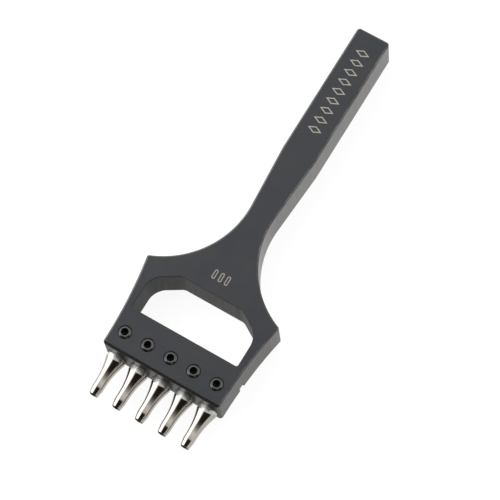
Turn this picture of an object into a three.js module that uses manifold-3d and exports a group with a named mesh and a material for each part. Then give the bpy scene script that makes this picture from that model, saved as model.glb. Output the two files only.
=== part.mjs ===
// Pricking iron with five replaceable punch bits, each held by its own grub screw.
//
// Frame: the tool lies flat on its back face. +Z is up, out of the front face. +Y runs along the
// tool towards the striking end of the handle and the cutting edges point to -Y. +X is across the
// tool. The origin is the middle of the bottom of the tool's box. Lengths are millimetres.

import * as THREE from 'three';
import { mergeVertices } from 'three/addons/utils/BufferGeometryUtils.js';
import Module from 'manifold-3d';

// ---- driving dimensions: row of bits -----------------------------------------------------------
const BIT_COUNT = 5;
const BIT_PITCH = 6;
const BIT_PROTRUSION = 10.2;       // lower face of the head to the cutting edge
const BIT_AXIS_HEIGHT = 3.45;      // above the back face
const SHANK_RADIUS = 2.4;
const SHANK_TAIL_CHAMFER = 0.3;
const SHANK_FLAT_WALL = 0.3;       // between the bore and the clamping flat
const SHANK_FLAT_MARGIN = 1.55;    // flat beyond the screw, towards the cutting edge
const EDGE_WIDTH = 2;              // cutting edge across the row
const EDGE_DEPTH = 3;              // cutting edge through the thickness
const EDGE_WALL = 0.2;
const BORE_RELIEF = 0.4;           // growth of the bore from the edge to the tail
const BEVEL_LENGTH = 1.7;          // short steeper cone at the cutting edge
const BEVEL_GROWTH = 0.28;         // radius gained along that cone
const LAND_LENGTH = 1.05;          // straight stretch behind the bevel
const FLARE_RADIUS = 19.5;         // hollow curve from the land out to the shank

// ---- driving dimensions: grub screws -----------------------------------------------------------
const SCREW_RADIUS = 1.45;
const SCREW_LENGTH = 5;
const SCREW_HEIGHT = 4.5;          // above the lower face
const SCREW_TO_TAIL = 2.6;         // screw axis to the shank's tail
const SCREW_CHAMFER = 0.3;
const SCREW_POINT_RADIUS = 0.95;
const HEX_ACROSS_FLATS = 1.5;
const HEX_DEPTH = 1.8;

// ---- driving dimensions: holder body -----------------------------------------------------------
const BODY_THICKNESS = 10;
const BODY_LENGTH = 94.3;          // lower face of the head to the striking end
const EDGE_CHAMFER = 0.4;          // round the outline, front and back
const HEAD_SIDE_WALL = 0.8;        // outer socket to the side of the head's foot
const HEAD_FOOT_RADIUS = 0.8;
const SHOULDER_SPREAD = 2.1;       // widest point of the head beyond its foot
const SHOULDER_HEIGHT = 22.6;      // of that point above the lower face
const SHOULDER_RADIUS = 0.5;
const NECK_HALF_WIDTH = 3.13;      // narrowest point
const NECK_FLARE_RADIUS = 22;      // hollow curve from the shoulder to the neck
const HANDLE_HALF_WIDTH = 4.2;
const HANDLE_TAPER = 0.066;        // sideways growth per length, from the neck to the bar
const HANDLE_END_RADIUS = 0.8;

// ---- driving dimensions: groove across the back, and window above the bits -----------------------
const GROOVE_OFFSET = 0.6;         // socket end to the groove
const GROOVE_WIDTH = 1.6;
const GROOVE_DEPTH = 2.3;
const WINDOW_OFFSET = 0.85;        // groove to the window's sill
const WINDOW_HEIGHT = 11.8;
const WINDOW_OVERHANG = 1.85;      // side of the window beyond the outer bit's axis
const WINDOW_SIDE_HEIGHT = 8.2;    // sill to where side and slope would meet
const WINDOW_SLOPE_RUN = 5.95;
const WINDOW_SIDE_RADIUS = 5;
const WINDOW_TOP_RADIUS = 2.5;
const WINDOW_SILL_RADIUS = 0.5;

// ---- clearances --------------------------------------------------------------------------------
const SOCKET_CLEARANCE = 0.05;     // shank to socket, all round
const SEAT_CLEARANCE = 0.05;       // shank tail to the socket's step
const THREAD_CLEARANCE = 0.1;      // screw to screw hole, all round
const CLAMP_CLEARANCE = 0.05;      // screw point to the clamping flat
const SLUG_CLEARANCE = 0.2;        // slug channel beyond the bit's bore, all round
const CUT_OVERRUN = 1;             // how far a cutting shape passes the face it opens

// ---- facets --------------------------------------------------------------------------------------
const ROUND_FACETS = 32;
const SCREW_FACETS = 24;
const SIDE_STEPS = 6;
const NECK_STEPS = 12;
const FILLET_STEPS = 5;
const WINDOW_FILLET_STEPS = 8;
const FLARE_STEPS = 10;
const HEX_SIDES = 6;
const MERGE_DISTANCE = 1e-5;       // vertices closer than this are one

// ---- places --------------------------------------------------------------------------------------
const totalLength = BODY_LENGTH + BIT_PROTRUSION;
const lowerFaceY = BIT_PROTRUSION - totalLength / 2;
const rowHalfLength = (BIT_COUNT - 1) / 2 * BIT_PITCH;
const bitX = Array.from({ length: BIT_COUNT }, (_, i) => i * BIT_PITCH - rowHalfLength);

const edgeBoreWidth = EDGE_WIDTH - 2 * EDGE_WALL;
const edgeBoreDepth = EDGE_DEPTH - 2 * EDGE_WALL;
const tailBoreWidth = edgeBoreWidth + BORE_RELIEF;
const tailBoreDepth = edgeBoreDepth + BORE_RELIEF;
const clampFlatZ = BIT_AXIS_HEIGHT + tailBoreDepth / 2 + SHANK_FLAT_WALL;
const clampFlatStart = SCREW_HEIGHT - SCREW_RADIUS - SHANK_FLAT_MARGIN;
const screwPointZ = clampFlatZ + CLAMP_CLEARANCE;
const shankInsertion = SCREW_HEIGHT + SCREW_TO_TAIL;

const socketRadius = SHANK_RADIUS + SOCKET_CLEARANCE;
const socketDepth = shankInsertion + SEAT_CLEARANCE;
const grooveHeight = socketDepth + GROOVE_OFFSET;
const windowSillHeight = grooveHeight + GROOVE_WIDTH + WINDOW_OFFSET;
const windowHalfWidth = rowHalfLength + WINDOW_OVERHANG;
const footHalfWidth = rowHalfLength + socketRadius + HEAD_SIDE_WALL;
const shoulderHalfWidth = footHalfWidth + SHOULDER_SPREAD;

// ---- solids ----------------------------------------------------------------------------------------
const wasm = await Module();
wasm.setup();

function toSolid(geometry) {
  const bare = geometry.clone();
  bare.deleteAttribute('normal');
  bare.deleteAttribute('uv');
  const merged = mergeVertices(bare, MERGE_DISTANCE);
  return new wasm.Manifold(new wasm.Mesh({
    numProp: 3,
    vertProperties: new Float32Array(merged.attributes.position.array),
    triVerts: new Uint32Array(merged.index.array),
  }));
}

function toGeometry(solid) {
  const mesh = solid.getMesh();
  const geometry = new THREE.BufferGeometry();
  geometry.setAttribute('position', new THREE.BufferAttribute(new Float32Array(mesh.vertProperties), 3));
  geometry.setIndex(new THREE.BufferAttribute(new Uint32Array(mesh.triVerts), 1));
  const faceted = geometry.toNonIndexed();
  faceted.computeVertexNormals();
  return faceted;
}

function boxSolid(low, high) {
  const size = high.clone().sub(low);
  const geometry = new THREE.BoxGeometry(size.x, size.y, size.z);
  geometry.translate((low.x + high.x) / 2, (low.y + high.y) / 2, (low.z + high.z) / 2);
  return toSolid(geometry);
}

// A closed solid through rings of equal point count; each ring is a list of Vector3.
function loftSolid(rings) {
  const count = rings[0].length;
  const positions = rings.flat().flatMap((point) => point.toArray());
  const index = [];
  for (let ring = 0; ring < rings.length - 1; ring += 1) {
    for (let i = 0; i < count; i += 1) {
      const a = ring * count + i;
      const b = ring * count + (i + 1) % count;
      index.push(a, b, b + count, a, b + count, a + count);
    }
  }
  const last = (rings.length - 1) * count;
  for (let i = 1; i < count - 1; i += 1) {
    index.push(0, i + 1, i);
    index.push(last, last + i, last + i + 1);
  }
  const geometry = new THREE.BufferGeometry();
  geometry.setAttribute('position', new THREE.Float32BufferAttribute(positions, 3));
  geometry.setIndex(index);
  return toSolid(geometry);
}

// ---- outlines --------------------------------------------------------------------------------------
// A polygon whose marked corners are rounded: each corner is [x, y] or [x, y, radius, steps].
function roundedOutline(corners) {
  const points = [];
  corners.forEach(([x, y, radius, steps], i) => {
    const corner = new THREE.Vector2(x, y);
    if (!radius) {
      points.push(corner);
      return;
    }
    const [px, py] = corners[(i + corners.length - 1) % corners.length];
    const [nx, ny] = corners[(i + 1) % corners.length];
    const back = new THREE.Vector2(px, py).sub(corner).normalize();
    const ahead = new THREE.Vector2(nx, ny).sub(corner).normalize();
    const halfAngle = Math.acos(THREE.MathUtils.clamp(back.dot(ahead), -1, 1)) / 2;
    const towardsCentre = back.clone().add(ahead).normalize();
    const centre = corner.clone().addScaledVector(towardsCentre, radius / Math.sin(halfAngle));
    const tangent = radius / Math.tan(halfAngle);
    const from = corner.clone().addScaledVector(back, tangent).sub(centre);
    const sweep = (Math.PI - 2 * halfAngle) * Math.sign(ahead.cross(back));
    for (let step = 0; step <= steps; step += 1) {
      points.push(from.clone().rotateAround(new THREE.Vector2(), sweep * step / steps).add(centre));
    }
  });
  return points;
}

function arcPoints(centreX, centreY, radius, fromAngle, toAngle, steps) {
  return Array.from({ length: steps + 1 }, (_, i) => {
    const angle = fromAngle + (toAngle - fromAngle) * i / steps;
    return [centreX + radius * Math.cos(angle), centreY + radius * Math.sin(angle)];
  });
}

// The right half of the body, from the foot of the head up to the striking end.
function bodyRightSide() {
  const sideRise = SHOULDER_HEIGHT - HEAD_FOOT_RADIUS;
  const sideRadius = (sideRise ** 2 + SHOULDER_SPREAD ** 2) / (2 * SHOULDER_SPREAD);
  const sideSweep = Math.asin(sideRise / sideRadius);
  const side = arcPoints(
    footHalfWidth + sideRadius, HEAD_FOOT_RADIUS, sideRadius,
    Math.PI, Math.PI - sideSweep, SIDE_STEPS,
  );
  const neckCentreX = NECK_HALF_WIDTH + NECK_FLARE_RADIUS;
  const neckReach = neckCentreX - shoulderHalfWidth;
  const neckSweep = Math.acos(neckReach / NECK_FLARE_RADIUS);
  const neckCentreY = SHOULDER_HEIGHT + NECK_FLARE_RADIUS * Math.sin(neckSweep);
  const taperAngle = Math.atan(HANDLE_TAPER);
  const neck = arcPoints(
    neckCentreX, neckCentreY, NECK_FLARE_RADIUS,
    Math.PI + neckSweep, Math.PI - taperAngle, NECK_STEPS,
  );
  const [taperX, taperY] = neck[neck.length - 1];
  const barY = taperY + (HANDLE_HALF_WIDTH - taperX) / HANDLE_TAPER;
  const shoulder = [shoulderHalfWidth, SHOULDER_HEIGHT, SHOULDER_RADIUS, FILLET_STEPS];
  return [
    [footHalfWidth, 0, HEAD_FOOT_RADIUS, FILLET_STEPS],
    ...side.slice(1, -1),
    shoulder,
    ...neck.slice(1),
    [HANDLE_HALF_WIDTH, barY],
    [HANDLE_HALF_WIDTH, BODY_LENGTH, HANDLE_END_RADIUS, FILLET_STEPS],
  ];
}

function mirrored(rightSide) {
  const leftSide = rightSide.map(([x, ...rest]) => [-x, ...rest]).reverse();
  return [...rightSide, ...leftSide];
}

function windowOutline() {
  const slopeFoot = windowSillHeight + WINDOW_SIDE_HEIGHT;
  const top = windowSillHeight + WINDOW_HEIGHT;
  return roundedOutline(mirrored([
    [windowHalfWidth, windowSillHeight, WINDOW_SILL_RADIUS, FILLET_STEPS],
    [windowHalfWidth, slopeFoot, WINDOW_SIDE_RADIUS, WINDOW_FILLET_STEPS],
    [windowHalfWidth - WINDOW_SLOPE_RUN, top, WINDOW_TOP_RADIUS, FILLET_STEPS],
  ]));
}

// ---- holder body -----------------------------------------------------------------------------------
function plateBlank() {
  const geometry = new THREE.ExtrudeGeometry(new THREE.Shape(roundedOutline(mirrored(bodyRightSide()))), {
    depth: BODY_THICKNESS - 2 * EDGE_CHAMFER,
    bevelThickness: EDGE_CHAMFER,
    bevelSize: EDGE_CHAMFER,
    bevelOffset: -EDGE_CHAMFER,
    bevelSegments: 1,
  });
  geometry.translate(0, 0, EDGE_CHAMFER);
  return toSolid(geometry);
}

function windowCutter() {
  const geometry = new THREE.ExtrudeGeometry(new THREE.Shape(windowOutline()), {
    depth: BODY_THICKNESS + 2 * CUT_OVERRUN,
    bevelEnabled: false,
  });
  geometry.translate(0, 0, -CUT_OVERRUN);
  return toSolid(geometry);
}

function grooveCutter() {
  const reach = shoulderHalfWidth + CUT_OVERRUN;
  return boxSolid(
    new THREE.Vector3(-reach, grooveHeight, -CUT_OVERRUN),
    new THREE.Vector3(reach, grooveHeight + GROOVE_WIDTH, GROOVE_DEPTH),
  );
}

function socketCutter(x) {
  const length = socketDepth + CUT_OVERRUN;
  const geometry = new THREE.CylinderGeometry(
    socketRadius, socketRadius, length, ROUND_FACETS,
  );
  geometry.translate(x, socketDepth - length / 2, BIT_AXIS_HEIGHT);
  return toSolid(geometry);
}

function slugChannelCutter(x) {
  const width = tailBoreWidth + 2 * SLUG_CLEARANCE;
  const depth = tailBoreDepth + 2 * SLUG_CLEARANCE;
  const top = windowSillHeight + CUT_OVERRUN;
  const bottom = socketDepth - CUT_OVERRUN;
  return loftSolid([flatOvalRing(x, top, width, depth), flatOvalRing(x, bottom, width, depth)]);
}

function screwHoleCutter(x) {
  const length = BODY_THICKNESS + CUT_OVERRUN - BIT_AXIS_HEIGHT;
  const geometry = new THREE.CylinderGeometry(
    SCREW_RADIUS + THREAD_CLEARANCE, SCREW_RADIUS + THREAD_CLEARANCE, length, SCREW_FACETS,
  );
  geometry.rotateX(Math.PI / 2);
  geometry.translate(x, SCREW_HEIGHT, BIT_AXIS_HEIGHT + length / 2);
  return toSolid(geometry);
}

function bodySolid() {
  let solid = plateBlank().subtract(windowCutter()).subtract(grooveCutter());
  for (const x of bitX) {
    solid = solid.subtract(socketCutter(x));
    solid = solid.subtract(slugChannelCutter(x));
    solid = solid.subtract(screwHoleCutter(x));
  }
  return solid;
}

// ---- punch bit ---------------------------------------------------------------------------------------
// A ring across the bit: two half circles joined by short flats, width along X and depth along Z.
function flatOvalRing(x, y, width, depth) {
  const radius = width / 2;
  const flatHalf = (depth - width) / 2;
  const half = ROUND_FACETS / 2;
  const ring = [];
  for (const side of [1, -1]) {
    for (let i = 0; i <= half; i += 1) {
      const angle = Math.PI * i / half;
      const across = side * radius * Math.cos(angle);
      const out = side * (flatHalf + radius * Math.sin(angle));
      ring.push(new THREE.Vector3(x + across, y, BIT_AXIS_HEIGHT + out));
    }
  }
  return ring;
}

// Half width of the bit's outside at a distance from the cutting edge.
function bitHalfWidth(distance) {
  const edge = EDGE_WIDTH / 2;
  if (distance <= BEVEL_LENGTH) {
    return edge + BEVEL_GROWTH * distance / BEVEL_LENGTH;
  }
  const along = THREE.MathUtils.clamp(distance - BEVEL_LENGTH - LAND_LENGTH, 0, FLARE_RADIUS);
  return edge + BEVEL_GROWTH + FLARE_RADIUS - Math.sqrt(FLARE_RADIUS ** 2 - along ** 2);
}

// Distance from the cutting edge at which the flare has grown past the shank.
function flareLength() {
  const growth = SHANK_RADIUS + CUT_OVERRUN - EDGE_WIDTH / 2 - BEVEL_GROWTH;
  return BEVEL_LENGTH + LAND_LENGTH + Math.sqrt(FLARE_RADIUS ** 2 - (FLARE_RADIUS - growth) ** 2);
}

function bitBlank() {
  const tail = shankInsertion;
  const profile = [
    [0, tail],
    [SHANK_RADIUS - SHANK_TAIL_CHAMFER, tail],
    [SHANK_RADIUS, tail - SHANK_TAIL_CHAMFER],
    [SHANK_RADIUS, -BIT_PROTRUSION],
    [0, -BIT_PROTRUSION],
  ];
  const geometry = new THREE.LatheGeometry(
    profile.map(([r, y]) => new THREE.Vector2(r, y)).reverse(), ROUND_FACETS,
  );
  geometry.translate(0, 0, BIT_AXIS_HEIGHT);
  return toSolid(geometry);
}

function bitFlare() {
  const ovalness = EDGE_DEPTH - EDGE_WIDTH;
  const flareStart = BEVEL_LENGTH + LAND_LENGTH;
  const reach = flareLength();
  const distances = [-CUT_OVERRUN, 0, BEVEL_LENGTH];
  for (let i = 0; i <= FLARE_STEPS; i += 1) {
    distances.push(flareStart + (reach - flareStart) * i / FLARE_STEPS);
  }
  const rings = distances.map((distance) => {
    const width = 2 * bitHalfWidth(distance);
    return flatOvalRing(0, distance - BIT_PROTRUSION, width, width + ovalness);
  });
  const widest = 2 * bitHalfWidth(reach);
  const tailY = shankInsertion + CUT_OVERRUN;
  rings.push(flatOvalRing(0, tailY, widest, widest + ovalness));
  return loftSolid(rings.reverse());
}

function bitBore() {
  const edgeY = -BIT_PROTRUSION;
  const tailY = shankInsertion;
  return loftSolid([
    flatOvalRing(0, tailY + CUT_OVERRUN, tailBoreWidth, tailBoreDepth),
    flatOvalRing(0, tailY - CUT_OVERRUN, tailBoreWidth, tailBoreDepth),
    flatOvalRing(0, edgeY, edgeBoreWidth, edgeBoreDepth),
    flatOvalRing(0, edgeY - CUT_OVERRUN, edgeBoreWidth, edgeBoreDepth),
  ]);
}

function bitFlatCutter() {
  return boxSolid(
    new THREE.Vector3(-SHANK_RADIUS - CUT_OVERRUN, clampFlatStart, clampFlatZ),
    new THREE.Vector3(SHANK_RADIUS + CUT_OVERRUN, shankInsertion + CUT_OVERRUN, clampFlatZ + SHANK_RADIUS),
  );
}

function bitSolid() {
  return bitBlank().intersect(bitFlare()).subtract(bitBore()).subtract(bitFlatCutter());
}

// ---- grub screw ----------------------------------------------------------------------------------------
// Built upright on its own axis, its point at height zero.
function screwSolid() {
  const profile = [
    [0, 0],
    [SCREW_POINT_RADIUS, 0],
    [SCREW_RADIUS, SCREW_RADIUS - SCREW_POINT_RADIUS],
    [SCREW_RADIUS, SCREW_LENGTH - SCREW_CHAMFER],
    [SCREW_RADIUS - SCREW_CHAMFER, SCREW_LENGTH],
    [0, SCREW_LENGTH],
  ];
  const geometry = new THREE.LatheGeometry(profile.map(([r, y]) => new THREE.Vector2(r, y)), SCREW_FACETS);
  const hexRadius = HEX_ACROSS_FLATS / Math.sqrt(3);
  const hex = new THREE.CylinderGeometry(hexRadius, hexRadius, HEX_DEPTH + CUT_OVERRUN, HEX_SIDES);
  hex.translate(0, SCREW_LENGTH + (CUT_OVERRUN - HEX_DEPTH) / 2, 0);
  return toSolid(geometry).subtract(toSolid(hex));
}

// ---- assembly --------------------------------------------------------------------------------------------
const blackened = new THREE.MeshStandardMaterial({ color: 0x44474a, roughness: 0.5, metalness: 0.7 });
const polished = new THREE.MeshStandardMaterial({ color: 0xc9c6bf, roughness: 0.15, metalness: 1 });
const blackOxide = new THREE.MeshStandardMaterial({ color: 0x1b1c1d, roughness: 0.4, metalness: 0.7 });

const pricking_iron = new THREE.Group();

function addPiece(name, geometry, material, x, y, z) {
  const mesh = new THREE.Mesh(geometry, material);
  mesh.name = name;
  mesh.position.set(x, y, z);
  pricking_iron.add(mesh);
  return mesh;
}

addPiece('body', toGeometry(bodySolid()), blackened, 0, lowerFaceY, 0);

const bitGeometry = toGeometry(bitSolid());
const screwGeometry = toGeometry(screwSolid());
bitX.forEach((x, i) => {
  addPiece(`punch_bit_${i + 1}`, bitGeometry, polished, x, lowerFaceY, 0);
  const screwY = lowerFaceY + SCREW_HEIGHT;
  const screw = addPiece(`grub_screw_${i + 1}`, screwGeometry, blackOxide, x, screwY, screwPointZ);
  screw.rotation.x = Math.PI / 2;
});

export default pricking_iron;
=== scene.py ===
"""Looks of the pricking iron: visible meshes, materials, studio and camera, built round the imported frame.

Shapes are worked out in millimetres and written to the meshes in metres. +Z is out of the front face,
+Y runs to the striking end of the handle and +X is across the tool, as in the frame.
"""
import math

import bmesh
import bpy
from mathutils import Euler, Matrix, Vector


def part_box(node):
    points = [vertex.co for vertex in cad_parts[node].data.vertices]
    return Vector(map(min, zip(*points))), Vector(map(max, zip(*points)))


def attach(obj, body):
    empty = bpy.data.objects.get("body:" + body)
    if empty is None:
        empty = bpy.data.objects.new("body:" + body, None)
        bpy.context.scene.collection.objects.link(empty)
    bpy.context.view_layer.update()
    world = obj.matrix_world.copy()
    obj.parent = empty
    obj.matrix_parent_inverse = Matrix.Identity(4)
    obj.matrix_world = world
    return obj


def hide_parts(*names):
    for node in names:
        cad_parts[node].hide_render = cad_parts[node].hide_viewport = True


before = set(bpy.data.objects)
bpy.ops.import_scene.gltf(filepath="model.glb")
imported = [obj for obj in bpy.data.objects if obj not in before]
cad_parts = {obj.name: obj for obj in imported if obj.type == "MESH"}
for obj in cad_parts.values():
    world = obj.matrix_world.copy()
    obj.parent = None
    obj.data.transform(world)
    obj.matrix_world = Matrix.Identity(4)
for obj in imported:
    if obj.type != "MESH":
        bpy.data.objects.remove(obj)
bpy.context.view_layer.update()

MM = 0.001                       # metres in a millimetre


def box_mm(node):
    low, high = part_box(node)
    return low / MM, high / MM


# ---- places taken from the frame ------------------------------------------------------------------
BIT_COUNT = 5
BITS = [f"punch_bit_{i + 1}" for i in range(BIT_COUNT)]
SCREWS = [f"grub_screw_{i + 1}" for i in range(BIT_COUNT)]
body_low, body_high = box_mm("body")
bit_low, bit_high = box_mm(BITS[0])
outer_bit_low, outer_bit_high = box_mm(BITS[-1])
screw_low, screw_high = box_mm(SCREWS[0])

LOWER_FACE = body_low.y
STRIKING_END = body_high.y
THICKNESS = body_high.z
ROW_HALF = (outer_bit_low.x + outer_bit_high.x) / 2
BIT_X = [ROW_HALF * (2 * i / (BIT_COUNT - 1) - 1) for i in range(BIT_COUNT)]
BIT_Z = (bit_low.z + bit_high.z) / 2
SHANK_RADIUS = (bit_high.x - bit_low.x) / 2
CUTTING_EDGE = bit_low.y
SHANK_TAIL = bit_high.y
SCREW_Y = (screw_low.y + screw_high.y) / 2
SCREW_POINT = screw_low.z
SCREW_TOP = screw_high.z
SCREW_RADIUS = (screw_high.x - screw_low.x) / 2

# ---- holder sizes, mm -----------------------------------------------------------------------------
EDGE_CHAMFER = 0.4
FOOT_CHAMFER = 0.6               # front edge of the lower face
FOOT_SHADE_FACING = -0.5               # faces whose normal's Y is below this belong to the foot, and take its darker material, painted shade
EDGE_SOFTNESS = 0.14             # radius where a chamfer meets a face
FOOT_HALF_WIDTH = 15.25
FOOT_RADIUS = 0.8
SHOULDER_HALF_WIDTH = 17.35
SHOULDER_HEIGHT = 22.6           # above the lower face
SHOULDER_RADIUS = 0.5
NECK_HALF_WIDTH = 3.13
NECK_FLARE_RADIUS = 22
HANDLE_HALF_WIDTH = 4.2
HANDLE_TAPER = 0.066
HANDLE_END_RADIUS = 0.8

WINDOW_SILL = 10.2               # above the lower face
WINDOW_HEIGHT = 11.8
WINDOW_PAST_ROW = 1.85           # beyond the outer bits' axes
WINDOW_HALF_WIDTH = ROW_HALF + WINDOW_PAST_ROW
WINDOW_SIDE_HEIGHT = 8.2
WINDOW_SLOPE_RUN = 5.95
WINDOW_SIDE_RADIUS = 5
WINDOW_TOP_RADIUS = 2.5
WINDOW_SILL_RADIUS = 0.5
WINDOW_EDGE_ROUND = 0.12
WINDOW_EDGE_STEPS = 5
CUTTER_MARK_PITCH = 0.42         # ribs that the milling cutter left in the window's corners
CUTTER_MARK_DEPTH = 0.012

GROOVE_START = 7.75              # above the lower face
GROOVE_WIDTH = 1.6
GROOVE_DEPTH = 2.3
GROOVE_LIP = 0.08

SHANK_CLEARANCE = 0.05           # all round the shank, and behind its tail
SCREW_CLEARANCE = 0.1            # all round the screw
SOCKET_RADIUS = SHANK_RADIUS + SHANK_CLEARANCE
SOCKET_LEAD_IN = 0.25
SOCKET_END = SHANK_TAIL + SHANK_CLEARANCE
SCREW_HOLE_RADIUS = SCREW_RADIUS + SCREW_CLEARANCE
SCREW_HOLE_SINK = 0.1
SLUG_CHANNEL_GROWTH = 0.2

# ---- bit sizes, mm --------------------------------------------------------------------------------
EDGE_HALF_WIDTH = 1.0
OVAL_FLAT_HALF = 0.5             # half the flat that joins the two round ends, through the thickness
FLARE_FLAT_HALF = 0.14           # what is left of that flat where the flare meets the round shank
EDGE_WALL = 0.2
LIP_WALL = 0.06                  # wall left at the very edge by the inner chamfer
LIP_DEPTH = 0.25
BORE_RELIEF = 0.2                # growth of the bore's half width from the edge to the tail
BEVEL_LENGTH = 1.7
BEVEL_GROWTH = 0.28
LAND_LENGTH = 1.05
FLARE_RADIUS = 19.5
FLARE_LENGTH = 6.5
POLISH_OVER_SIDES = 0.45         # how far the polish runs on past the flare, at the sides
POLISH_MARGIN = 0.02             # and all round, so that the last polished ring has a width
BEVEL_STEPS = 6
LAND_STEPS = 4
FLARE_STEPS = 28
TAIL_CHAMFER = 0.3
TAIL_RING = 3                    # a ring of the shank, before its tail
CLAMP_FLAT_WALL = 0.3
CLAMP_FLAT_START = 1.5           # above the lower face

# ---- screw sizes, mm ------------------------------------------------------------------------------
THREAD_PITCH = 0.5
THREAD_DEPTH = 0.22
THREAD_FLANK = 0.4               # each flank's share of the pitch
THREAD_ROWS = 8                  # rings to a pitch
SCREW_CHAMFER = 0.3
SCREW_CROWN = ((0.03, 0.06), (-0.02, 0))     # softens it: rings (past the chamfer, below the top)
SCREW_POINT_RADIUS = 0.95
SCREW_CUP_DEPTH = 0.25
SCREW_CUP_RADIUS = 0.3           # of the cup's flat bottom
SCREW_LIP_WIDTH = 0.08
SCREW_LIP_HEIGHT = 0.02
HEX_HALF_ACROSS_FLATS = 0.75
HEX_DEPTH = 1.8
HEX_MOUTH_RADIUS = 0.9
HEX_MOUTH_SLOPE = 1.6            # drop for each millimetre inwards
HEX_MOUTH_STEP = 0.04
HEX_DRILL_RADIUS = 0.12          # bottom of the drilled cone under the hexagon
HEX_DRILL_DEPTH = 0.3

# ---- how finely the shapes are divided ------------------------------------------------------------
CORNER_STEPS = 8
SIDE_STEPS = 16
NECK_STEPS = 44
WINDOW_SIDE_STEPS = 48           # fine enough for the cutter marks
WINDOW_TOP_STEPS = 24
CHANNEL_STEPS = 48
MARK_STEPS = 12

OVERRUN = 1                      # how far a cutting shape passes the face it opens
MERGE_DISTANCE = 0.0005
MITRE_LIMIT = 2                  # most that a sharp corner's normal is stretched
MARKED_STEP = 0.625              # cutter marks go only where the window's outline has steps this short
HALVINGS = 40                    # of the stretch in which the flare meets the shank


# ---- mesh helpers ---------------------------------------------------------------------------------
def new_object(name, points, faces, materials=(), face_materials=None):
    """A mesh object from points in millimetres."""
    mesh = bpy.data.meshes.new(name)
    mesh.from_pydata([Vector(p) * MM for p in points], [], faces)
    for material in materials:
        mesh.materials.append(material)
    if face_materials:
        mesh.polygons.foreach_set("material_index", face_materials)
    mesh.update()
    obj = bpy.data.objects.new(name, mesh)
    bpy.context.scene.collection.objects.link(obj)
    return obj


def ring_faces(ring_count, ring_size, start=0):
    """Quads between rings of equal size that are stored one after the other."""
    faces = []
    for ring in range(ring_count - 1):
        for i in range(ring_size):
            a = start + ring * ring_size + i
            b = start + ring * ring_size + (i + 1) % ring_size
            faces.append((a, b, b + ring_size, a + ring_size))
    return faces


def prism_object(name, rings, materials=()):
    """A closed object through rings of equal size, capped with one face at each end."""
    size = len(rings[0])
    points = [p for ring in rings for p in ring]
    faces = ring_faces(len(rings), size)
    last = (len(rings) - 1) * size
    faces.append(tuple(reversed(range(size))))
    faces.append(tuple(range(last, last + size)))
    return new_object(name, points, faces, materials)


def face_outward(obj):
    work = bmesh.new()
    work.from_mesh(obj.data)
    bmesh.ops.recalc_face_normals(work, faces=work.faces)
    work.to_mesh(obj.data)
    work.free()


def cut(target, cutters):
    """Takes each cutter away from the target, in turn, and removes the cutters."""
    for cutter in cutters:
        face_outward(cutter)
        modifier = target.modifiers.new("cut", "BOOLEAN")
        modifier.operation = "DIFFERENCE"
        modifier.solver = "EXACT"
        modifier.material_mode = "TRANSFER"
        modifier.object = cutter
    bake_modifiers(target)
    for cutter in cutters:
        bpy.data.objects.remove(cutter)


def bake_modifiers(obj):
    depsgraph = bpy.context.evaluated_depsgraph_get()
    mesh = bpy.data.meshes.new_from_object(obj.evaluated_get(depsgraph))
    old = obj.data
    obj.modifiers.clear()
    obj.data = mesh
    mesh.name = obj.name
    bpy.data.meshes.remove(old)


def shade(obj, sharp_degrees=24):
    """Smooth shading that keeps creases, where a flat face's own normal wins over its rounded edges."""
    work = bmesh.new()
    work.from_mesh(obj.data)
    bmesh.ops.remove_doubles(work, verts=work.verts, dist=MERGE_DISTANCE * MM)
    limit = math.radians(sharp_degrees)
    for face in work.faces:
        face.smooth = True
    for edge in work.edges:
        edge.smooth = len(edge.link_faces) == 2 and edge.calc_face_angle() < limit
    work.to_mesh(obj.data)
    work.free()
    modifier = obj.modifiers.new("normals", "WEIGHTED_NORMAL")
    modifier.keep_sharp = True
    modifier.weight = 100
    bake_modifiers(obj)


# ---- outlines -------------------------------------------------------------------------------------
def rounded_outline(corners):
    """Corners are (x, y) or (x, y, radius, steps), anticlockwise; the marked ones are rounded."""
    points = []
    for i, corner in enumerate(corners):
        here = Vector(corner[:2])
        if len(corner) == 2:
            points.append(here)
            continue
        radius, steps = corner[2:]
        back = (Vector(corners[i - 1][:2]) - here).normalized()
        ahead = (Vector(corners[(i + 1) % len(corners)][:2]) - here).normalized()
        half_angle = back.angle(ahead) / 2
        centre = here + (back + ahead).normalized() * radius / math.sin(half_angle)
        start = here + back * radius / math.tan(half_angle) - centre
        turn = math.pi - 2 * half_angle
        if ahead.x * back.y - ahead.y * back.x < 0:
            turn = -turn
        for step in range(steps + 1):
            points.append(centre + Matrix.Rotation(turn * step / steps, 2) @ start)
    return points


def arc_points(centre_x, centre_y, radius, start, end, steps):
    angles = [start + (end - start) * i / steps for i in range(steps + 1)]
    return [(centre_x + radius * math.cos(a), centre_y + radius * math.sin(a)) for a in angles]


def mirrored(right_side):
    left_side = [(-corner[0], *corner[1:]) for corner in reversed(right_side)]
    return right_side + left_side


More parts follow.
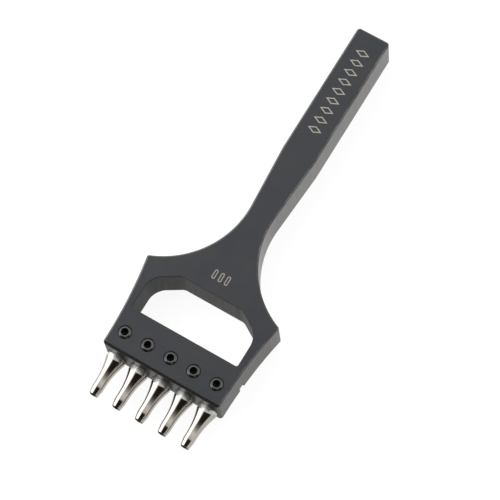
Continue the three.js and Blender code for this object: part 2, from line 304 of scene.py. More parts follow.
def holder_outline():
    """The holder's outline, heights measured from the lower face."""
    spread = SHOULDER_HALF_WIDTH - FOOT_HALF_WIDTH
    rise = SHOULDER_HEIGHT - FOOT_RADIUS
    side_radius = (rise ** 2 + spread ** 2) / (2 * spread)
    side_sweep = math.asin(rise / side_radius)
    side = arc_points(FOOT_HALF_WIDTH + side_radius, FOOT_RADIUS, side_radius,
                      math.pi, math.pi - side_sweep, SIDE_STEPS)
    neck_x = NECK_HALF_WIDTH + NECK_FLARE_RADIUS
    neck_sweep = math.acos((neck_x - SHOULDER_HALF_WIDTH) / NECK_FLARE_RADIUS)
    neck_y = SHOULDER_HEIGHT + NECK_FLARE_RADIUS * math.sin(neck_sweep)
    neck = arc_points(neck_x, neck_y, NECK_FLARE_RADIUS,
                      math.pi + neck_sweep, math.pi - math.atan(HANDLE_TAPER), NECK_STEPS)
    taper_x, taper_y = neck[-1]
    bar_y = taper_y + (HANDLE_HALF_WIDTH - taper_x) / HANDLE_TAPER
    length = STRIKING_END - LOWER_FACE
    right_side = [(FOOT_HALF_WIDTH, 0, FOOT_RADIUS, CORNER_STEPS)]
    right_side += side[1:-1]
    right_side.append((SHOULDER_HALF_WIDTH, SHOULDER_HEIGHT, SHOULDER_RADIUS, CORNER_STEPS))
    right_side += neck[1:]
    right_side.append((HANDLE_HALF_WIDTH, bar_y))
    right_side.append((HANDLE_HALF_WIDTH, length, HANDLE_END_RADIUS, CORNER_STEPS))
    return rounded_outline(mirrored(right_side))


def window_outline():
    slope_foot = WINDOW_SILL + WINDOW_SIDE_HEIGHT
    top = WINDOW_SILL + WINDOW_HEIGHT
    return rounded_outline(mirrored([
        (WINDOW_HALF_WIDTH, WINDOW_SILL, WINDOW_SILL_RADIUS, CORNER_STEPS),
        (WINDOW_HALF_WIDTH, slope_foot, WINDOW_SIDE_RADIUS, WINDOW_SIDE_STEPS),
        (WINDOW_HALF_WIDTH - WINDOW_SLOPE_RUN, top, WINDOW_TOP_RADIUS, WINDOW_TOP_STEPS),
    ]))


def outward_normals(outline):
    normals = []
    for i, point in enumerate(outline):
        before = (point - outline[i - 1]).normalized()
        after = (outline[(i + 1) % len(outline)] - point).normalized()
        along = (before + after).normalized()
        stretch = 1 / max(along.dot(after), 1 / MITRE_LIMIT)
        normals.append(Vector((along.y, -along.x)) * stretch)
    return normals


def chamfer_profile(chamfer, softness, steps=4):
    """(inset, depth) pairs from a flat face down a 45 degree chamfer to the side, both ends softened."""
    tangent = softness * math.tan(math.pi / 8)
    profile = []
    for step in range(steps + 1):
        angle = math.pi / 4 * step / steps
        profile.append((chamfer + tangent - softness * math.sin(angle), softness * (1 - math.cos(angle))))
    for step in range(steps + 1):
        angle = math.pi / 4 * (1 + step / steps)
        profile.append((softness * (1 - math.sin(angle)), chamfer + tangent - softness * math.cos(angle)))
    return profile


# ---- holder ---------------------------------------------------------------------------------------
def holder_blank(outside, foot):
    outline = holder_outline()
    normals = outward_normals(outline)
    profile = chamfer_profile(EDGE_CHAMFER, EDGE_SOFTNESS)
    foot_scale = FOOT_CHAMFER / EDGE_CHAMFER - 1

    def ring(inset, depth, from_front):
        """On the front edge the chamfer grows to the foot's size where the outline faces along -Y."""
        points = []
        for point, normal in zip(outline, normals):
            scale = 1 + foot_scale * max(0, -normal.y) ** 4 if from_front else 1
            place = point - normal * inset * scale
            height = THICKNESS - depth * scale if from_front else depth
            points.append((place.x, place.y + LOWER_FACE, height))
        return points

    rings = [ring(inset, depth, False) for inset, depth in profile]
    rings += [ring(inset, depth, True) for inset, depth in reversed(profile)]
    blank = prism_object("holder_body", rings, [outside, foot])
    face_outward(blank)
    for face in blank.data.polygons:
        # faces looking along -Y get the darker material, painted shade
        if face.normal.y < FOOT_SHADE_FACING:
            face.material_index = 1
    return blank


def cutter_marked(outline):
    """The outline with the shallow ribs that a milling cutter leaves in its round corners."""
    normals = outward_normals(outline)
    marked = []
    travelled = 0
    for i, (point, normal) in enumerate(zip(outline, normals)):
        step_back = (point - outline[i - 1]).length
        travelled += step_back
        step_on = (outline[(i + 1) % len(outline)] - point).length
        in_corner = max(step_back, step_on) < MARKED_STEP
        depth = CUTTER_MARK_DEPTH * abs(math.sin(math.pi * travelled / CUTTER_MARK_PITCH))
        marked.append(point + normal * (depth if in_corner else 0))
    return marked


def window_cutter(material):
    outline = cutter_marked(window_outline())
    normals = outward_normals(outline)
    lips = []
    for step in range(WINDOW_EDGE_STEPS + 1):
        angle = math.pi / 2 * step / WINDOW_EDGE_STEPS
        growth = WINDOW_EDGE_ROUND * (1 - math.sin(angle))
        lips.append((growth, WINDOW_EDGE_ROUND * (1 - math.cos(angle))))
    levels = [(WINDOW_EDGE_ROUND, -OVERRUN)] + lips
    levels += [(growth, THICKNESS - depth) for growth, depth in reversed(lips)]
    levels.append((WINDOW_EDGE_ROUND, THICKNESS + OVERRUN))
    rings = []
    for growth, height in levels:
        ring = [point + normal * growth for point, normal in zip(outline, normals)]
        rings.append([(p.x, p.y + LOWER_FACE, height) for p in ring])
    return prism_object("window_cutter", rings, [material])


def turned_cutter(name, profile, place, axis, material, steps=64):
    """A closed turned shape: profile is (radius, distance along the axis) pairs."""
    rings = []
    for radius, along in profile:
        ring = []
        for i in range(steps):
            angle = 2 * math.pi * i / steps
            across = (radius * math.cos(angle), radius * math.sin(angle))
            if axis == "Y":
                ring.append((place[0] + across[0], place[1] + along, place[2] + across[1]))
            else:
                ring.append((place[0] + across[0], place[1] + across[1], place[2] + along))
        rings.append(ring)
    return prism_object(name, rings, [material])


def socket_cutter(x, material):
    depth = SOCKET_END - LOWER_FACE
    profile = [
        (SOCKET_RADIUS + SOCKET_LEAD_IN, -OVERRUN),
        (SOCKET_RADIUS + SOCKET_LEAD_IN, 0),
        (SOCKET_RADIUS, SOCKET_LEAD_IN),
        (SOCKET_RADIUS, depth),
    ]
    return turned_cutter("socket_cutter", profile, (x, LOWER_FACE, BIT_Z), "Y", material)


def screw_hole_cutter(x, material):
    profile = [
        (SCREW_HOLE_RADIUS, BIT_Z - THICKNESS),
        (SCREW_HOLE_RADIUS, -SCREW_HOLE_SINK),
        (SCREW_HOLE_RADIUS + SCREW_HOLE_SINK, 0),
        (SCREW_HOLE_RADIUS + SCREW_HOLE_SINK, OVERRUN),
    ]
    return turned_cutter("screw_hole_cutter", profile, (x, SCREW_Y, THICKNESS), "Z", material)


def oval_reach(angle, half_width, flat_half=OVAL_FLAT_HALF):
    """From the bit's axis to a flat oval's outline, at an angle from +Z towards +X."""
    across, out = abs(math.sin(angle)), abs(math.cos(angle))
    if out * half_width <= flat_half * across:
        return half_width / across
    return flat_half * out + math.sqrt(half_width ** 2 - (flat_half * across) ** 2)


def slug_channel_cutter(x, material):
    half_width = EDGE_HALF_WIDTH - EDGE_WALL + BORE_RELIEF + SLUG_CHANNEL_GROWTH
    rings = []
    for y in (SOCKET_END - OVERRUN, LOWER_FACE + WINDOW_SILL + OVERRUN):
        ring = []
        for i in range(CHANNEL_STEPS):
            angle = 2 * math.pi * i / CHANNEL_STEPS
            reach = oval_reach(angle, half_width)
            ring.append((x + reach * math.sin(angle), y, BIT_Z + reach * math.cos(angle)))
        rings.append(ring)
    return prism_object("slug_channel_cutter", rings, [material])


def groove_cutter(material):
    reach = SHOULDER_HALF_WIDTH + OVERRUN
    start = LOWER_FACE + GROOVE_START
    end = start + GROOVE_WIDTH
    section = [
        (start - GROOVE_LIP, -OVERRUN), (end + GROOVE_LIP, -OVERRUN), (end + GROOVE_LIP, 0),
        (end, GROOVE_LIP), (end, GROOVE_DEPTH), (start, GROOVE_DEPTH),
        (start, GROOVE_LIP), (start - GROOVE_LIP, 0),
    ]
    rings = [[(x, y, z) for y, z in section] for x in (-reach, reach)]
    return prism_object("groove_cutter", rings, [material])


def make_holder(outside, foot, milled, hole_shade):
    """The first two materials are the outside's: for all of it, and for its lower face and chamfers, whose
    darker colour is painted shade.
    """
    holder = holder_blank(outside, foot)
    cutters = [window_cutter(milled), groove_cutter(milled)]
    for x in BIT_X:
        for hole_cutter in (socket_cutter, slug_channel_cutter, screw_hole_cutter):
            # the holes' walls take the near-black material, painted shade in the recesses
            cutters.append(hole_cutter(x, hole_shade))
    cut(holder, cutters)
    shade(holder)
    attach(holder, "holder")
    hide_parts("body")
    return holder


# ---- punch bits -----------------------------------------------------------------------------------
def bit_half_width(distance):
    """Half width of the bit's flat oval at a distance from the cutting edge."""
    if distance <= BEVEL_LENGTH:
        return EDGE_HALF_WIDTH + BEVEL_GROWTH * distance / BEVEL_LENGTH
    along = max(0, distance - BEVEL_LENGTH - LAND_LENGTH)
    return EDGE_HALF_WIDTH + BEVEL_GROWTH + FLARE_RADIUS - math.sqrt(FLARE_RADIUS ** 2 - along ** 2)


def bit_reach(angle, distance):
    """From the bit's axis to its surface, before the round shank limits it."""
    along = min(max(0, distance - BEVEL_LENGTH - LAND_LENGTH) / FLARE_LENGTH, 1)
    flat_half = OVAL_FLAT_HALF + (FLARE_FLAT_HALF - OVAL_FLAT_HALF) * along
    return oval_reach(angle, bit_half_width(distance), flat_half)


def shank_start(angle):
    """Distance from the cutting edge at which the flare reaches the shank, at an angle, by halving."""
    low, high = BEVEL_LENGTH + LAND_LENGTH, BEVEL_LENGTH + LAND_LENGTH + 2 * FLARE_LENGTH
    for _ in range(HALVINGS):
        middle = (low + high) / 2
        if bit_reach(angle, middle) < SHANK_RADIUS:
            low = middle
        else:
            high = middle
    return low


def polish_end(angle):
    """Distance from the cutting edge at which the polish gives way to the ground collar, at an angle."""
    return shank_start(angle) + POLISH_OVER_SIDES * math.sin(angle) ** 2 + POLISH_MARGIN


def bit_rows():
    """(reach function, distance function, material index of the faces that follow) for each ring."""
    length = SHANK_TAIL - CUTTING_EDGE
    bore_edge = EDGE_HALF_WIDTH - EDGE_WALL
    bore_tail = bore_edge + BORE_RELIEF
    polished, bevel, ground, bore = range(4)
    rows = []

    def oval(half_width, distance, material):
        rows.append((lambda a: oval_reach(a, half_width), lambda a: distance, material))

    def round_shank(radius, distance, material):
        rows.append((lambda a: radius, lambda a: distance, material))

    def blend(share, material):
        """A ring of the flare, a share of the way from the land to where the shank starts."""
        start = BEVEL_LENGTH + LAND_LENGTH

        def distance(a):
            return start + (shank_start(a) - start) * share

        rows.append((lambda a: min(bit_reach(a, distance(a)), SHANK_RADIUS), distance, material))

    oval(EDGE_HALF_WIDTH, 0, bevel)
    for step in range(1, BEVEL_STEPS):
        distance = BEVEL_LENGTH * step / BEVEL_STEPS
        oval(bit_half_width(distance), distance, bevel)
    oval(bit_half_width(BEVEL_LENGTH), BEVEL_LENGTH, polished)
    for step in range(1, LAND_STEPS):
        distance = BEVEL_LENGTH + LAND_LENGTH * step / LAND_STEPS
        oval(bit_half_width(distance), distance, polished)
    for step in range(FLARE_STEPS):
        blend(step / FLARE_STEPS, polished)
    blend(1, polished)
    rows.append((lambda a: SHANK_RADIUS, polish_end, ground))
    protrusion = LOWER_FACE - CUTTING_EDGE
    for distance in (protrusion, protrusion + CLAMP_FLAT_START, length - TAIL_RING, length - TAIL_CHAMFER):
        round_shank(SHANK_RADIUS, distance, ground)
    round_shank(SHANK_RADIUS - TAIL_CHAMFER, length, ground)
    oval(bore_tail, length, bore)
    oval(bore_edge, LIP_DEPTH, bore)
    oval(EDGE_HALF_WIDTH - LIP_WALL, 0, bevel)
    return rows


def bit_mesh_data(steps=128):
    rows = bit_rows()
    points, faces, face_materials = [], [], []
    for reach, distance, _ in rows:
        for i in range(steps):
            angle = 2 * math.pi * i / steps
            r = reach(angle)
            along = CUTTING_EDGE + distance(angle)
            points.append((r * math.sin(angle), along, BIT_Z + r * math.cos(angle)))
    faces = ring_faces(len(rows), steps)
    for _, _, material in rows[:-1]:
        face_materials += [material] * steps
    last = (len(rows) - 1) * steps
    for i in range(steps):
        faces.append((last + i, last + (i + 1) % steps, (i + 1) % steps, i))
    face_materials += [rows[-1][2]] * steps
    return points, faces, face_materials


def clamp_flat_cutter(x):
    flat_z = BIT_Z + OVAL_FLAT_HALF + EDGE_HALF_WIDTH - EDGE_WALL + BORE_RELIEF + CLAMP_FLAT_WALL
    low = (x - SHANK_RADIUS - OVERRUN, LOWER_FACE + CLAMP_FLAT_START, flat_z)
    high = (x + SHANK_RADIUS + OVERRUN, SHANK_TAIL + OVERRUN, flat_z + SHANK_RADIUS)
    rings = []
    for z in (low[2], high[2]):
        corners = [(low[0], low[1]), (high[0], low[1]), (high[0], high[1]), (low[0], high[1])]
        rings.append([(corner_x, corner_y, z) for corner_x, corner_y in corners])
    return prism_object("clamp_flat_cutter", rings)


def make_bits(materials):
    points, faces, face_materials = bit_mesh_data()
    for i, x in enumerate(BIT_X):
        placed = [(px + x, py, pz) for px, py, pz in points]
        bit = new_object(f"steel_bit_{i + 1}", placed, faces, materials, face_materials)
        face_outward(bit)
        cut(bit, [clamp_flat_cutter(x)])
        shade(bit, sharp_degrees=30)
        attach(bit, f"bit_{i + 1}")
        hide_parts(BITS[i])


# ---- grub screws ----------------------------------------------------------------------------------
def hex_reach(angle):
    sector = math.pi / 3
    return HEX_HALF_ACROSS_FLATS / math.cos((angle + sector / 2) % sector - sector / 2)


def thread_radius(angle, along):
    """Radius of a vee thread with narrow flats, wound round the screw."""
    turn = (along / THREAD_PITCH - angle / (2 * math.pi)) % 1
    flank = min(abs(turn - 0.5) / THREAD_FLANK, 1)
    return SCREW_RADIUS - THREAD_DEPTH * (1 - flank)


def screw_mesh_data(steps=72):
    """Points, faces and each face's material: 0 for the turned outside, 1 for the hexagon socket."""
    length = SCREW_TOP - SCREW_POINT
    rings = [
        [(SCREW_CUP_RADIUS, SCREW_CUP_DEPTH)] * steps,
        [(SCREW_POINT_RADIUS - SCREW_LIP_WIDTH, 0)] * steps,
        [(SCREW_POINT_RADIUS, SCREW_LIP_HEIGHT)] * steps,
    ]
    thread_start = SCREW_RADIUS - SCREW_POINT_RADIUS
    thread_end = length - SCREW_CHAMFER
    count = int((thread_end - thread_start) / THREAD_PITCH * THREAD_ROWS)
    for row in range(count + 1):
        along = thread_start + (thread_end - thread_start) * row / count
        fade = min(1, row / THREAD_ROWS, (count - row) / THREAD_ROWS * 2)
        ring = []
        for i in range(steps):
            angle = 2 * math.pi * i / steps
            radius = SCREW_RADIUS + (thread_radius(angle, along) - SCREW_RADIUS) * fade
            ring.append((radius, along))
        rings.append(ring)
    for past_chamfer, below_top in SCREW_CROWN:
        rings.append([(SCREW_RADIUS - SCREW_CHAMFER + past_chamfer, length - below_top)] * steps)
    rings.append([(HEX_MOUTH_RADIUS, length)] * steps)
    hexagon = [hex_reach(2 * math.pi * i / steps) for i in range(steps)]
    mouth_top = length - HEX_MOUTH_STEP
    rings.append([(reach, mouth_top - (HEX_MOUTH_RADIUS - reach) * HEX_MOUTH_SLOPE) for reach in hexagon])
    rings.append([(reach, length - HEX_DEPTH) for reach in hexagon])
    rings.append([(HEX_DRILL_RADIUS, length - HEX_DEPTH - HEX_DRILL_DEPTH)] * steps)
    points = []
    for ring in rings:
        for i, (radius, along) in enumerate(ring):
            angle = 2 * math.pi * i / steps
            across, up = radius * math.cos(angle), radius * math.sin(angle)
            points.append((across, SCREW_Y + up, SCREW_POINT + along))
    faces = ring_faces(len(rings), steps)
    socket_rows = 3
    face_materials = [0] * (len(rings) - 1 - socket_rows) * steps + [1] * socket_rows * steps
    faces.append(tuple(reversed(range(steps))))
    last = (len(rings) - 1) * steps
    faces.append(tuple(range(last, last + steps)))
    face_materials += [0, 1]
    return points, faces, face_materials


def make_screws(materials):
    points, faces, face_materials = screw_mesh_data()
    for i, x in enumerate(BIT_X):
        placed = [(px + x, py, pz) for px, py, pz in points]
        screw = new_object(f"set_screw_{i + 1}", placed, faces, materials, face_materials)
        face_outward(screw)
        shade(screw, sharp_degrees=28)
        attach(screw, f"screw_{i + 1}")
        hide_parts(SCREWS[i])


# ---- etched marks ---------------------------------------------------------------------------------
MARK_PROUD = 0.012
MARK_BURIED = 0.05
MARK_STROKE = 0.27
LOZENGE_COUNT = 9
LOZENGE_PITCH = 2.7
LOZENGE_HALF_LENGTH = 1.8        # across the handle
LOZENGE_HALF_WIDTH = 0.85
HANDLE_MARK_CENTRE = 16.2        # from the striking end
HEAD_MARK_HEIGHT = 26.2          # above the lower face
HEAD_MARK_PITCH = 1.65
HEAD_MARK_HALF_WIDTH = 0.42
HEAD_MARK_FLAT_HALF = 0.75
HEAD_MARK_STROKE = MARK_STROKE * 0.7


def band_object(name, outer, inner, material):
    """A thin closed band between two outlines of equal point count, just proud of the front face."""
    low, high = THICKNESS - MARK_BURIED, THICKNESS + MARK_PROUD
    size = len(outer)
    points = []
    for ring, z in ((outer, low), (outer, high), (inner, high), (inner, low)):
        points += [(x, y, z) for x, y in ring]
    faces = ring_faces(4, size)
    for i in range(size):
        j = (i + 1) % size
        faces.append((3 * size + i, 3 * size + j, j, i))
    obj = new_object(name, points, faces, [material])
    face_outward(obj)
    return obj


def joined(name, objects):
    """One object from several that share a material."""
    work = bmesh.new()
    for obj in objects:
        work.from_mesh(obj.data)
    mesh = bpy.data.meshes.new(name)
    work.to_mesh(mesh)
    work.free()
    mesh.materials.append(objects[0].data.materials[0])
    for obj in objects:
        bpy.data.objects.remove(obj)
    result = bpy.data.objects.new(name, mesh)
    bpy.context.scene.collection.objects.link(result)
    return result


def lozenge(x, y, half_length, half_width):
    return [(x + half_length, y), (x, y + half_width), (x - half_length, y), (x, y - half_width)]


def handle_mark(material):
    centre = STRIKING_END - HANDLE_MARK_CENTRE
    parts = []
    for i in range(LOZENGE_COUNT):
        y = centre + (i - (LOZENGE_COUNT - 1) / 2) * LOZENGE_PITCH
        outer = lozenge(0, y, LOZENGE_HALF_LENGTH, LOZENGE_HALF_WIDTH)
        shrink = 1 - MARK_STROKE / LOZENGE_HALF_WIDTH
        inner = lozenge(0, y, LOZENGE_HALF_LENGTH * shrink, LOZENGE_HALF_WIDTH * shrink)
        parts.append(band_object("lozenge", outer, inner, material))
    return joined("handle_mark", parts)


def head_mark(material):
    y = LOWER_FACE + HEAD_MARK_HEIGHT
    parts = []
    for i in (-1, 0, 1):
        rings = []
        for half_width in (HEAD_MARK_HALF_WIDTH, HEAD_MARK_HALF_WIDTH - HEAD_MARK_STROKE):
            ring = []
            for side in (1, -1):
                for step in range(MARK_STEPS + 1):
                    angle = math.pi * step / MARK_STEPS
                    across = side * half_width * math.cos(angle)
                    up = side * (HEAD_MARK_FLAT_HALF + half_width * math.sin(angle))
                    ring.append((i * HEAD_MARK_PITCH + across, y + up))
            rings.append(ring)
        parts.append(band_object("oval", rings[0], rings[1], material))
    return joined("head_mark", parts)


def make_marks(material):
    for mark in (handle_mark(material), head_mark(material)):
        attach(mark, "holder")


# ---- material helpers -----------------------------------------------------------------------------
class Nodes:
    """A material's or world's node tree, with short calls that add and join nodes."""

    def __init__(self, owner):
        owner.use_nodes = True
        self.tree = owner.node_tree
        self.tree.nodes.clear()

    def add(self, kind, settings=None, **inputs):
        node = self.tree.nodes.new(kind)
        for key, value in (settings or {}).items():
            setattr(node, key, value)
        for key, value in inputs.items():
            self.set(node, key.replace("_", " "), value)
        return node

    def set(self, node, key, value):
        socket = node.inputs[int(key)] if key.isdigit() else node.inputs[key]
        if isinstance(value, bpy.types.NodeSocket):
            self.tree.links.new(value, socket)
        else:
            socket.default_value = value

    def math(self, operation, a, b=0.0):
        node = self.add("ShaderNodeMath", {"operation": operation})
        self.set(node, "0", a)
        self.set(node, "1", b)
        return node.outputs[0]

    def ramp_value(self, value, low, high, to_low=0.0, to_high=1.0, smooth=False):
        node = self.add("ShaderNodeMapRange", {"interpolation_type": "SMOOTHSTEP" if smooth else "LINEAR"})
        for key, v in (("Value", value), ("From Min", low), ("From Max", high),
                       ("To Min", to_low), ("To Max", to_high)):
            self.set(node, key, v)
        return node.outputs["Result"]

    def mix(self, factor, a, b):
        node = self.add("ShaderNodeMix", {"data_type": "RGBA"})
        self.set(node, "0", factor)
        self.set(node, "6", a)
        self.set(node, "7", b)
        return node.outputs[2]

    def noise(self, size, stretch=(1, 1, 1), detail=3.0, roughness=0.5, offset=(0, 0, 0)):
        """Noise with features of about that size in millimetres, stretched along the object's axes."""
        place = self.add("ShaderNodeTexCoord").outputs["Object"]
        scale = [1 / (size * MM * s) for s in stretch]
        mapping = self.add("ShaderNodeMapping", Vector=place, Scale=scale, Location=offset)
        node = self.add("ShaderNodeTexNoise", Vector=mapping.outputs[0], Scale=1.0, Detail=detail,
                        Roughness=roughness)
        return node.outputs["Fac"]

    def bump(self, height, distance, strength=1.0, normal=None):
        node = self.add("ShaderNodeBump", Height=height, Distance=distance * MM, Strength=strength)
        if normal is not None:
            self.set(node, "Normal", normal)
        return node.outputs[0]


def surface(name):
    material = bpy.data.materials.new(name)
    nodes = Nodes(material)
    shader = nodes.add("ShaderNodeBsdfPrincipled")
    output = nodes.add("ShaderNodeOutputMaterial")
    nodes.tree.links.new(shader.outputs[0], output.inputs["Surface"])
    return material, nodes, shader


# ---- materials ------------------------------------------------------------------------------------
STEEL_BASE = (0.385, 0.362, 0.332)
HEAD_SIDES_FROM = -15            # along the tool, mm: here the sides start to grow rougher towards the head
HEAD_SIDES_FULL = -24
HEAD_SIDES_ROUGHER = 0.11


def rgb(r, g, b):
    return (r, g, b, 1.0)


def blackened_steel():
    """Satin black-oxide finish on the faces, and milled edges with fine lines through the thickness."""
    material, n, shader = surface("blackened_steel")
    normal = n.add("ShaderNodeTexCoord").outputs["Normal"]
    normal_parts = n.add("ShaderNodeSeparateXYZ", Vector=normal)
    facing = n.math("ABSOLUTE", normal_parts.outputs["Z"])
    on_face = n.ramp_value(facing, 0.9, 0.98)

    cloud = n.noise(9, detail=4, roughness=0.6)
    warmth = n.ramp_value(cloud, 0.36, 0.64)
    face_colour = n.mix(warmth, rgb(0.005, 0.008, 0.013), rgb(0.010, 0.0115, 0.0145))
    grain = n.noise(0.25, detail=2)
    grain_dark = n.ramp_value(grain, 0.3, 0.7, 0.88, 1.1)

    lines = n.noise(0.3, stretch=(1, 1, 60), detail=3, roughness=0.6)
    line_tone = n.ramp_value(lines, 0.3, 0.7)
    side_colour = n.mix(line_tone, rgb(0.016, 0.0135, 0.0100), rgb(0.030, 0.0260, 0.0195))
    colour = n.mix(on_face, side_colour, face_colour)
    on_edge = n.math("MULTIPLY", n.ramp_value(facing, 0.3, 0.6), n.ramp_value(facing, 0.8, 0.97, 1, 0))
    beside = n.ramp_value(n.math("ABSOLUTE", normal_parts.outputs["Y"]), 0.2, 0.5, 1, 0)
    rubbed = n.ramp_value(n.noise(3, detail=5, roughness=0.7, offset=(1, 6, 2)), 0.35, 0.65, 0.25, 1)
    wear = n.math("MULTIPLY", n.math("MULTIPLY", on_edge, beside), rubbed)
    colour = n.mix(wear, colour, rgb(0.13, 0.132, 0.134))
    n.set(shader, "Metallic", wear)
    shaded = n.add("ShaderNodeVectorMath", {"operation": "SCALE"})
    n.set(shaded, "0", colour)
    n.set(shaded, "Scale", grain_dark)
    n.set(shader, "Base Color", shaded.outputs[0])

    smudge = n.noise(5, detail=5, roughness=0.65, offset=(3, 1, 2))
    face_rough = n.ramp_value(smudge, 0.3, 0.7, 0.42, 0.54)
    place = n.add("ShaderNodeTexCoord").outputs["Object"]
    along = n.add("ShaderNodeSeparateXYZ", Vector=place).outputs["Y"]
    head_rough = n.ramp_value(along, HEAD_SIDES_FULL * MM, HEAD_SIDES_FROM * MM, HEAD_SIDES_ROUGHER, 0.0)
    side_rough = n.math("ADD", n.ramp_value(lines, 0.3, 0.7, 0.25, 0.32), head_rough)
    rough = n.add("ShaderNodeMix", {"data_type": "FLOAT"})
    n.set(rough, "0", on_face)
    n.set(rough, "2", side_rough)
    n.set(rough, "3", face_rough)
    n.set(shader, "Roughness", rough.outputs[0])
    shader.inputs["Specular IOR Level"].default_value = 0.38

    fine = n.bump(grain, 0.004, 0.6)
    line_height = n.math("MULTIPLY", lines, n.math("SUBTRACT", 1.0, on_face))
    n.set(shader, "Normal", n.bump(line_height, 0.006, 0.7, fine))
    return material


def foot_shade_steel():
    """The lower face and its chamfers: the black finish, duller than the sides, with a darker colour that
    is painted shade.
    """
    material, n, shader = surface("foot_shade_steel")
    lines = n.noise(0.3, stretch=(30, 1, 1), detail=3, roughness=0.6, offset=(2, 2, 5))
    tone = n.ramp_value(lines, 0.3, 0.7)
    # darker than the sides: painted shade on the faces that look down along -Y
    n.set(shader, "Base Color", n.mix(tone, rgb(0.006, 0.006, 0.005), rgb(0.012, 0.011, 0.009)))
    n.set(shader, "Roughness", n.ramp_value(lines, 0.3, 0.7, 0.36, 0.46))
    shader.inputs["Specular IOR Level"].default_value = 0.22
    n.set(shader, "Normal", n.bump(lines, 0.006, 0.7))
    return material


def milled_steel():
    """The window's walls: the same black finish over a coarser cut."""
    material, n, shader = surface("milled_steel")
    lines = n.noise(0.35, stretch=(1, 1, 40), detail=3, roughness=0.6, offset=(4, 1, 2))
    tone = n.ramp_value(lines, 0.3, 0.7)
    n.set(shader, "Base Color", n.mix(tone, rgb(0.009, 0.009, 0.009), rgb(0.022, 0.021, 0.019)))
    n.set(shader, "Roughness", n.ramp_value(lines, 0.3, 0.7, 0.5, 0.62))
    shader.inputs["Specular IOR Level"].default_value = 0.22
    n.set(shader, "Normal", n.bump(lines, 0.015, 0.8))
    return material


def polished_steel(name, base, rough_low, rough_high, ring_size, ring_depth):
    """Bright steel with fine rings round the bit's axis, from its last polish."""
    material, n, shader = surface(name)
    rings = n.noise(ring_size, stretch=(40, 1, 40), detail=4, roughness=0.7)
    cloud = n.noise(2.2, detail=3, offset=(5, 2, 7))
    tone = n.ramp_value(cloud, 0.3, 0.7)
    darker = rgb(*(c * 0.86 for c in base))
    n.set(shader, "Base Color", n.mix(tone, darker, rgb(*base)))
    n.set(shader, "Roughness", n.ramp_value(rings, 0.3, 0.7, rough_low, rough_high))
    shader.inputs["Metallic"].default_value = 1.0
    n.set(shader, "Normal", n.bump(rings, ring_depth, 0.5))
    return material


def ground_steel():
    """The matte ground collar and shank."""
    material, n, shader = surface("ground_steel")
    rings = n.noise(0.14, stretch=(30, 1, 30), detail=4, roughness=0.7)
    grain = n.noise(0.2, detail=3, offset=(2, 4, 1))
    tone = n.ramp_value(grain, 0.3, 0.7)
    n.set(shader, "Base Color", n.mix(tone, rgb(0.47, 0.47, 0.45), rgb(0.55, 0.545, 0.52)))
    n.set(shader, "Roughness", n.ramp_value(rings, 0.3, 0.7, 0.2, 0.28))
    shader.inputs["Metallic"].default_value = 0.75
    n.set(shader, "Normal", n.bump(rings, 0.006, 0.6))
    return material


def bore_steel():
    material, n, shader = surface("bore_steel")
    lines = n.noise(0.2, stretch=(1, 20, 1), detail=3)
    n.set(shader, "Base Color", n.mix(lines, rgb(0.10, 0.095, 0.09), rgb(0.2, 0.19, 0.18)))
    shader.inputs["Metallic"].default_value = 1.0
    n.set(shader, "Roughness", n.ramp_value(lines, 0.3, 0.7, 0.35, 0.55))
    return material


def black_oxide():
    """The screws' thin black finish over turned steel."""
    material, n, shader = surface("black_oxide")
    grain = n.noise(0.12, detail=3)
    n.set(shader, "Base Color", n.mix(grain, rgb(0.075, 0.075, 0.076), rgb(0.115, 0.114, 0.112)))
    n.set(shader, "Roughness", n.ramp_value(grain, 0.3, 0.7, 0.24, 0.36))
    shader.inputs["Metallic"].default_value = 1.0
    n.set(shader, "Normal", n.bump(grain, 0.004, 0.5))
    return material


def hole_shade_steel():
    """Drilled and broached walls, and the screws' hex sockets: near black, as painted shade in these
    recesses.
    """
    material, n, shader = surface("hole_shade_steel")
    rings = n.noise(0.16, detail=3)
    # near black: painted shade inside the holes
    n.set(shader, "Base Color", n.mix(rings, rgb(0.004, 0.004, 0.004), rgb(0.010, 0.0095, 0.009)))
    n.set(shader, "Roughness", n.ramp_value(rings, 0.3, 0.7, 0.4, 0.55))
    shader.inputs["Specular IOR Level"].default_value = 0.25
    return material


def etched_steel():
    """Laser-etched marks: matte, pale and slightly grainy."""
    material, n, shader = surface("etched_steel")
    grain = n.noise(0.1, detail=2)
    n.set(shader, "Base Color", n.mix(grain, rgb(0.20, 0.19, 0.165), rgb(0.34, 0.32, 0.28)))
    n.set(shader, "Roughness", n.ramp_value(grain, 0.3, 0.7, 0.6, 0.8))
    shader.inputs["Metallic"].default_value = 0.2
    return material


def pale_floor():
    material, n, shader = surface("pale_floor")
    cloud = n.noise(60, detail=2)
    n.set(shader, "Base Color", n.mix(cloud, rgb(0.135, 0.135, 0.135), rgb(0.145, 0.145, 0.145)))
    shader.inputs["Roughness"].default_value = 0.9
    shader.inputs["Specular IOR Level"].default_value = 0.1
    shader.inputs["Emission Color"].default_value = rgb(1, 1, 1)
    shader.inputs["Emission Strength"].default_value = FLOOR_GLOW
    return material


# ---- studio ---------------------------------------------------------------------------------------
FLOOR_HALF = 2000
FLOOR_DROP = 0.03
FLOOR_GLOW = 0.92
KEY_ANGLE = -55                  # degrees from straight up, towards -X
KEY_DISTANCE = 900
KEY_HEIGHT = 1120
KEY_LENGTH = 2200
KEY_POWER = 19
TENT_BRIGHT = (1.3, 1.29, 1.27)      # the white tent round the tool
TENT_DARK = (0.030, 0.022, 0.018)    # its opening above the tool, and the dark room low in front
# Soft edges of the dark parts: a direction's X or Y, from where the change starts to where it ends.
OPENING_LEFT = (-0.32, -0.1)
OPENING_RIGHT = (0.94, 0.98)
OPENING_BACK = (-0.1, 0.2)
OPENING_FRONT = (-0.75, -0.5)
LOW_FRONT = (-0.85, -0.62)


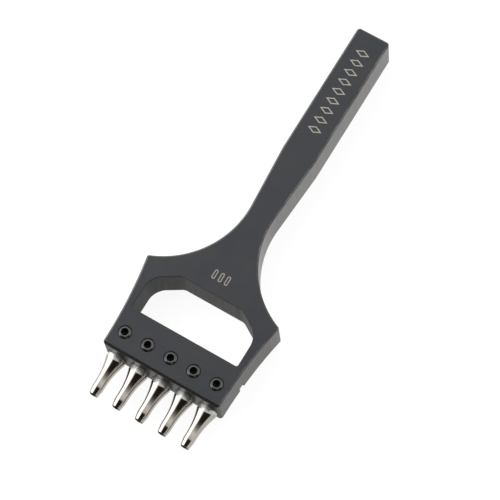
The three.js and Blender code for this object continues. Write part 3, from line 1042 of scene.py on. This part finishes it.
def make_floor():
    z = -FLOOR_DROP
    corners = [(-FLOOR_HALF, -FLOOR_HALF, z), (FLOOR_HALF, -FLOOR_HALF, z),
               (FLOOR_HALF, FLOOR_HALF, z), (-FLOOR_HALF, FLOOR_HALF, z)]
    floor = new_object("floor", corners, [(0, 1, 2, 3)], [pale_floor()])


def make_world():
    """A white tent with a dark opening above and to the right, and a dark room low in front."""
    world = bpy.data.worlds.new("studio")
    bpy.context.scene.world = world
    n = Nodes(world)
    direction = n.add("ShaderNodeTexCoord").outputs["Generated"]
    parts = n.add("ShaderNodeSeparateXYZ", Vector=direction)
    across, along = parts.outputs["X"], parts.outputs["Y"]
    right_of_middle = n.ramp_value(across, *OPENING_LEFT, smooth=True)
    left_of_horizon = n.ramp_value(across, *OPENING_RIGHT, 1, 0, smooth=True)
    toward_back = n.ramp_value(along, *OPENING_BACK)
    before_back = n.math("SUBTRACT", 1.0, n.math("POWER", toward_back, 2.0))
    behind_front = n.ramp_value(along, *OPENING_FRONT, smooth=True)
    opening = n.math("MULTIPLY", n.math("MULTIPLY", right_of_middle, left_of_horizon),
                     n.math("MULTIPLY", before_back, behind_front))
    low_front = n.ramp_value(along, *LOW_FRONT, 1, 0, smooth=True)
    dark = n.math("MAXIMUM", opening, low_front)
    colour = n.mix(dark, rgb(*TENT_BRIGHT), rgb(*TENT_DARK))
    background = n.add("ShaderNodeBackground", Color=colour, Strength=1.0)
    output = n.add("ShaderNodeOutputWorld")
    n.tree.links.new(background.outputs[0], output.inputs["Surface"])


def make_key_light():
    data = bpy.data.lights.new("key_light", "AREA")
    data.shape = "RECTANGLE"
    data.size = KEY_HEIGHT * MM
    data.size_y = KEY_LENGTH * MM
    data.energy = KEY_POWER
    light = bpy.data.objects.new("key_light", data)
    bpy.context.scene.collection.objects.link(light)
    angle = math.radians(KEY_ANGLE)
    light.location = Vector((math.sin(angle), 0, math.cos(angle))) * KEY_DISTANCE * MM
    light.rotation_euler = Euler((0, angle, 0))


# ---- camera ---------------------------------------------------------------------------------------
CAMERA_X = 127.47
CAMERA_BEFORE_HEAD = 110.94      # in front of the lower face
CAMERA_HEIGHT = 562.2
CAMERA_TILT = 19.205             # degrees from straight down
CAMERA_HEADING = 40.634
CAMERA_ROLL = -10.086
CAMERA_LENS = 187.2
CAMERA_SENSOR = 36
CAMERA_NEAREST = 10
CAMERA_FARTHEST = 10000


def make_camera():
    data = bpy.data.cameras.new("camera")
    data.lens = CAMERA_LENS
    data.sensor_width = CAMERA_SENSOR
    data.clip_start = CAMERA_NEAREST * MM
    data.clip_end = CAMERA_FARTHEST * MM
    camera = bpy.data.objects.new("camera", data)
    bpy.context.scene.collection.objects.link(camera)
    camera.location = Vector((CAMERA_X, LOWER_FACE - CAMERA_BEFORE_HEAD, CAMERA_HEIGHT)) * MM
    turn = Matrix.Rotation(math.radians(CAMERA_HEADING), 3, "Z")
    tilt = Matrix.Rotation(math.radians(CAMERA_TILT), 3, "X")
    roll = Matrix.Rotation(math.radians(CAMERA_ROLL), 3, "Z")
    camera.rotation_euler = (turn @ tilt @ roll).to_euler()
    bpy.context.scene.camera = camera


# ---- scene ----------------------------------------------------------------------------------------
make_camera()
make_world()
make_key_light()
make_floor()
bpy.context.scene.view_settings.view_transform = "Standard"

make_holder(blackened_steel(), foot_shade_steel(), milled_steel(), hole_shade_steel())
make_bits([
    polished_steel("polished_steel", STEEL_BASE, 0.08, 0.16, 0.12, 0.003),
    polished_steel("bevel_steel", STEEL_BASE, 0.06, 0.12, 0.08, 0.003),
    ground_steel(),
    bore_steel(),
])
# the hex sockets take the same near-black material, painted shade
make_screws([black_oxide(), hole_shade_steel()])
make_marks(etched_steel())
